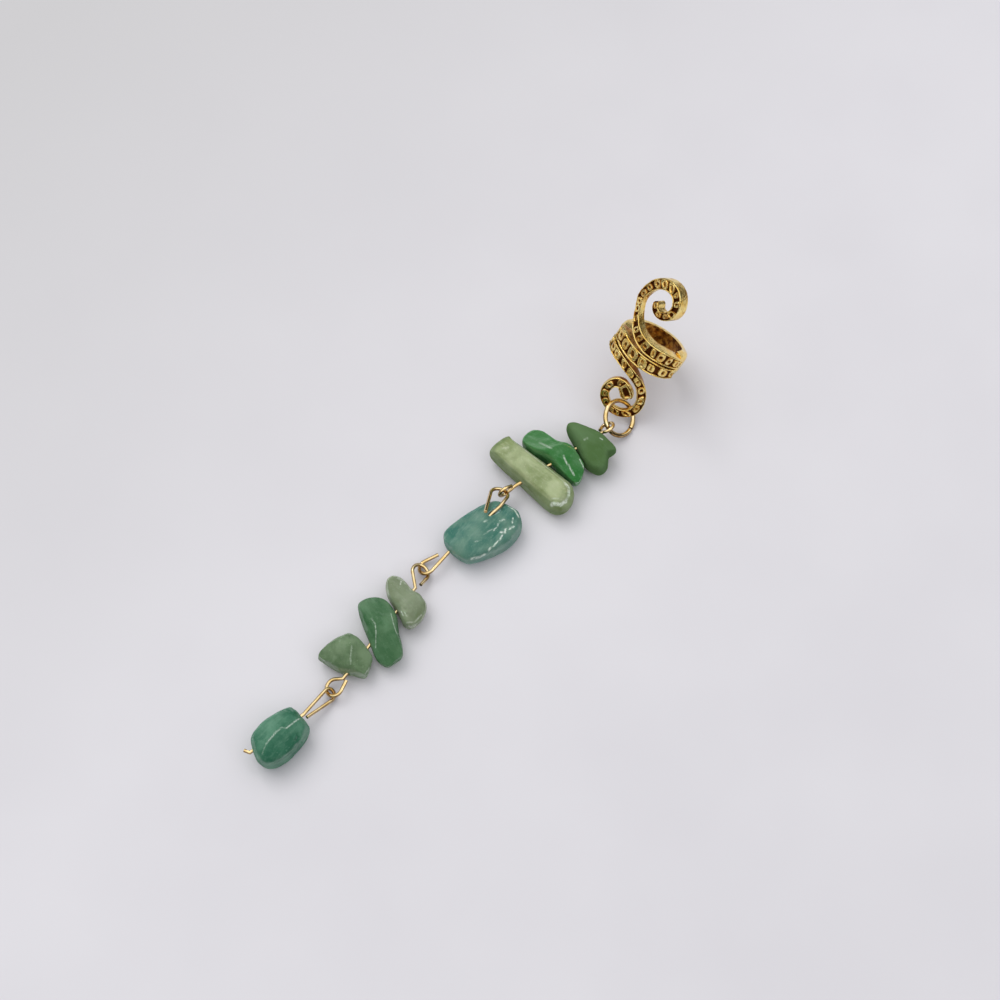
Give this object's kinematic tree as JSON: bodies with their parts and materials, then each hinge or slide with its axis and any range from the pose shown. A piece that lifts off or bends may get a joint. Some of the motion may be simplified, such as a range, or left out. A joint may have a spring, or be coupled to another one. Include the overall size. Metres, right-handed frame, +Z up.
{
  "type": "dreadlock hair clip",
  "caption": "Open cast cuff with scrolled strips that closes round a lock of hair, with a ring and a dangling string of drilled stone chips on looped wires.",
  "frame": {"origin": "middle of the box's base, on the table that the clip lies on", "axes": "+X runs along the string of stones towards the cuff, +Z is up from the table, +Y is across the string"},
  "size_m": [0.0906, 0.015, 0.0227],
  "materials": {
    "cuff": "cast, gold-coloured, dark in its recesses",
    "jump_ring": "bright gold-coloured wire",
    "pin_1": "bright gold-coloured wire",
    "chip_1": "tumbled and polished stone",
    "chip_2": "tumbled and polished stone",
    "chip_3": "tumbled and polished stone",
    "pin_2": "bright gold-coloured wire",
    "chip_4": "tumbled and polished stone",
    "pin_3": "bright gold-coloured wire",
    "chip_5": "tumbled and polished stone",
    "chip_6": "tumbled and polished stone",
    "chip_7": "tumbled and polished stone",
    "pin_4": "bright gold-coloured wire",
    "chip_8": "tumbled and polished stone"
  },
  "bodies": {
    "root": {"cuff": "cuff", "jump_ring": "jump_ring", "pin_1": "pin_1", "chip_1": "chip_1", "chip_2": "chip_2", "chip_3": "chip_3", "pin_2": "pin_2", "chip_4": "chip_4", "pin_3": "pin_3", "chip_5": "chip_5", "chip_6": "chip_6", "chip_7": "chip_7", "pin_4": "pin_4", "chip_8": "chip_8"}
  },
  "joints": []
}
